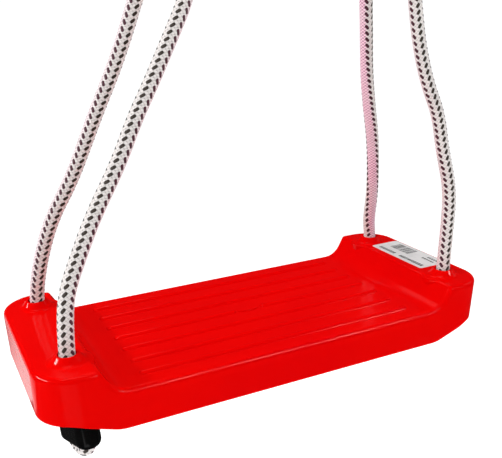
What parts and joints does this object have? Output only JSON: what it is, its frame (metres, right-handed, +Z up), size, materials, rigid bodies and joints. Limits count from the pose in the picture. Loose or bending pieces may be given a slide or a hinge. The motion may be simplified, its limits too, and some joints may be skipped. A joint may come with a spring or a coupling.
{
  "type": "board swing",
  "caption": "Moulded plastic board swing seat with raised ends and anti-slip beads, hung on two doubled braided ropes with hanging rings and rope adjusters.",
  "frame": {"origin": "on the hanging line, where the two rings bear on whatever holds them, above the middle of the seat", "axes": "+Z up, +X along the seat to its right end, which carries the label, +Y to its back"},
  "size_m": [0.3994, 0.1754, 0.4498],
  "materials": {
    "seat_plastic": "glossy moulded red polyethylene",
    "label": "satin printed film",
    "rope": "white braided polypropylene with dark tracer yarns",
    "washer_steel": "zinc plated",
    "adjuster_plastic": "glossy black polyamide",
    "sleeve_plastic": "black heat-shrink tube",
    "ring_steel": "galvanised round wire"
  },
  "bodies": {
    "hangers": {"left_ring": "ring_steel", "right_ring": "ring_steel"},
    "seat": {"seat_shell": "seat_plastic", "rating_label": "label", "left_rope": "rope", "right_rope": "rope", "left_rope_tail": "rope", "right_rope_tail": "rope", "left_rear_knot": "rope", "right_rear_knot": "rope", "left_knot_washer": "washer_steel", "right_knot_washer": "washer_steel", "left_tail_sleeve": "sleeve_plastic", "right_tail_sleeve": "sleeve_plastic"},
    "left_adjuster": {"left_adjuster": "adjuster_plastic"},
    "right_adjuster": {"right_adjuster": "adjuster_plastic"}
  },
  "joints": [
    {"name": "swing", "type": "hinge", "parent": "hangers", "child": "seat", "pos_m": [0, 0, -0.044], "axis": [1, 0, 0], "range_deg": [-45, 45]},
    {"name": "left_adjust", "type": "slide", "parent": "seat", "child": "left_adjuster", "axis": [-0.0413, 0.188, 0.9813], "range_m": [0, 0.02], "deforming": ["left_rope_tail"]},
    {"name": "right_adjust", "type": "slide", "parent": "seat", "child": "right_adjuster", "axis": [0, 0, 1], "range_m": [-0.02, 0], "deforming": ["right_rope_tail"]}
  ]
}
